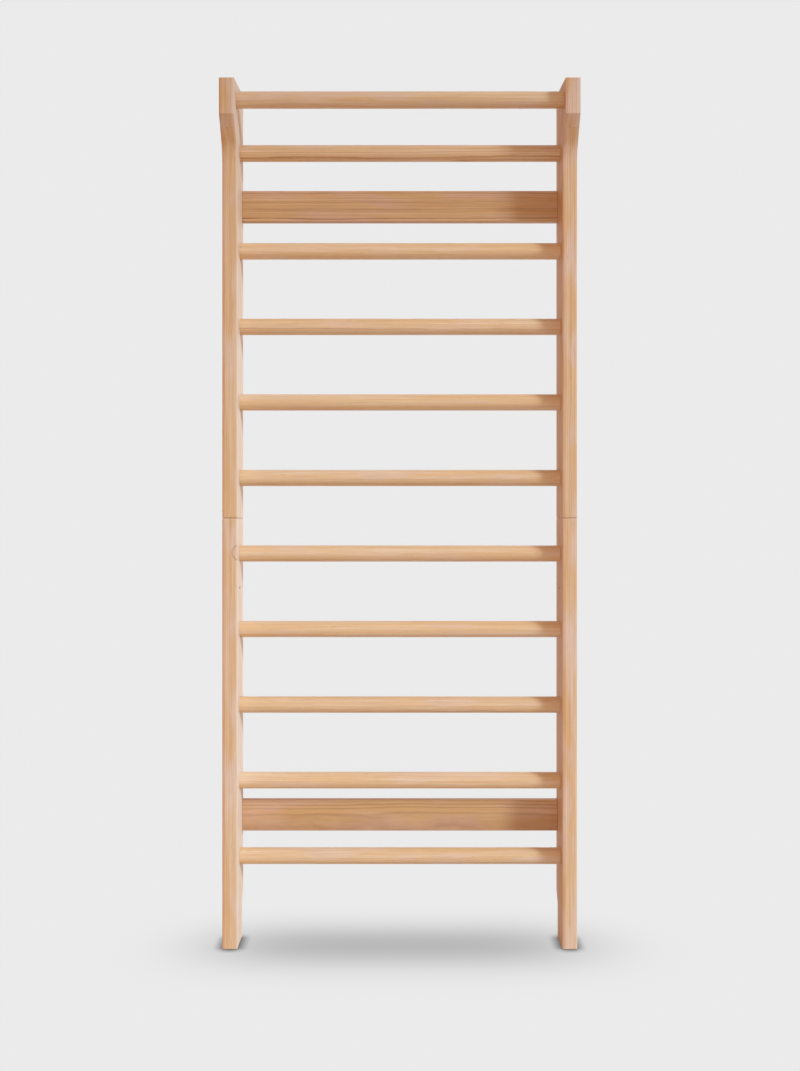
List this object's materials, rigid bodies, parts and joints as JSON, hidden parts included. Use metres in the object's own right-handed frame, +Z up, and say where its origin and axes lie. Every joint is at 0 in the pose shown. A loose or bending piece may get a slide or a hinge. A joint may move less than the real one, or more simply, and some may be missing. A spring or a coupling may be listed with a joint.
{
  "type": "climbing frame",
  "caption": "Tall wooden climbing frame of the wall-bar kind: two split stiles hold round rungs, with the top rung set forward, and two boards to fix it to a wall.",
  "frame": {"origin": "on the floor, in the middle of the frame's width and of its depth", "axes": "+X across the frame to the climber's right, +Y towards the wall, +Z up along the stiles"},
  "size_m": [0.903, 0.18, 2.2123],
  "materials": {
    "stile_pine": "planed pine under a clear satin varnish, grain along the stile",
    "rung_pine": "turned pine under a clear satin varnish, grain along the rung",
    "board_pine": "planed pine under a clear satin varnish, grain along the board",
    "dowel_beech": "raw turned beech",
    "zinc_steel": "bright zinc plate",
    "brown_steel": "browned, dull"
  },
  "bodies": {
    "root": {"stile_left_upper": "stile_pine", "stile_left_lower": "stile_pine", "stile_right_upper": "stile_pine", "stile_right_lower": "stile_pine", "rung_01": "rung_pine", "rung_02": "rung_pine", "rung_03": "rung_pine", "rung_04": "rung_pine", "rung_05": "rung_pine", "rung_06": "rung_pine", "rung_07": "rung_pine", "rung_08": "rung_pine", "rung_09": "rung_pine", "rung_10": "rung_pine", "rung_11": "rung_pine", "wall_board_upper": "board_pine", "wall_board_lower": "board_pine", "joint_rod_left": "zinc_steel", "joint_dowel_left_front": "dowel_beech", "joint_dowel_left_back": "dowel_beech", "joint_lock_screw_left": "brown_steel", "rung_screw_left_01": "zinc_steel", "rung_screw_left_02": "zinc_steel", "rung_screw_left_03": "zinc_steel", "rung_screw_left_04": "zinc_steel", "rung_screw_left_05": "zinc_steel", "rung_screw_left_06": "zinc_steel", "rung_screw_left_07": "zinc_steel", "rung_screw_left_08": "zinc_steel", "rung_screw_left_09": "zinc_steel", "rung_screw_left_10": "zinc_steel", "rung_screw_left_11": "zinc_steel", "board_screw_left_upper_1": "zinc_steel", "board_screw_left_upper_2": "zinc_steel", "board_screw_left_lower_1": "zinc_steel", "board_screw_left_lower_2": "zinc_steel", "joint_rod_right": "zinc_steel", "joint_dowel_right_front": "dowel_beech", "joint_dowel_right_back": "dowel_beech", "joint_lock_screw_right": "brown_steel", "rung_screw_right_01": "zinc_steel", "rung_screw_right_02": "zinc_steel", "rung_screw_right_03": "zinc_steel", "rung_screw_right_04": "zinc_steel", "rung_screw_right_05": "zinc_steel", "rung_screw_right_06": "zinc_steel", "rung_screw_right_07": "zinc_steel", "rung_screw_right_08": "zinc_steel", "rung_screw_right_09": "zinc_steel", "rung_screw_right_10": "zinc_steel", "rung_screw_right_11": "zinc_steel", "board_screw_right_upper_1": "zinc_steel", "board_screw_right_upper_2": "zinc_steel", "board_screw_right_lower_1": "zinc_steel", "board_screw_right_lower_2": "zinc_steel"}
  },
  "joints": []
}
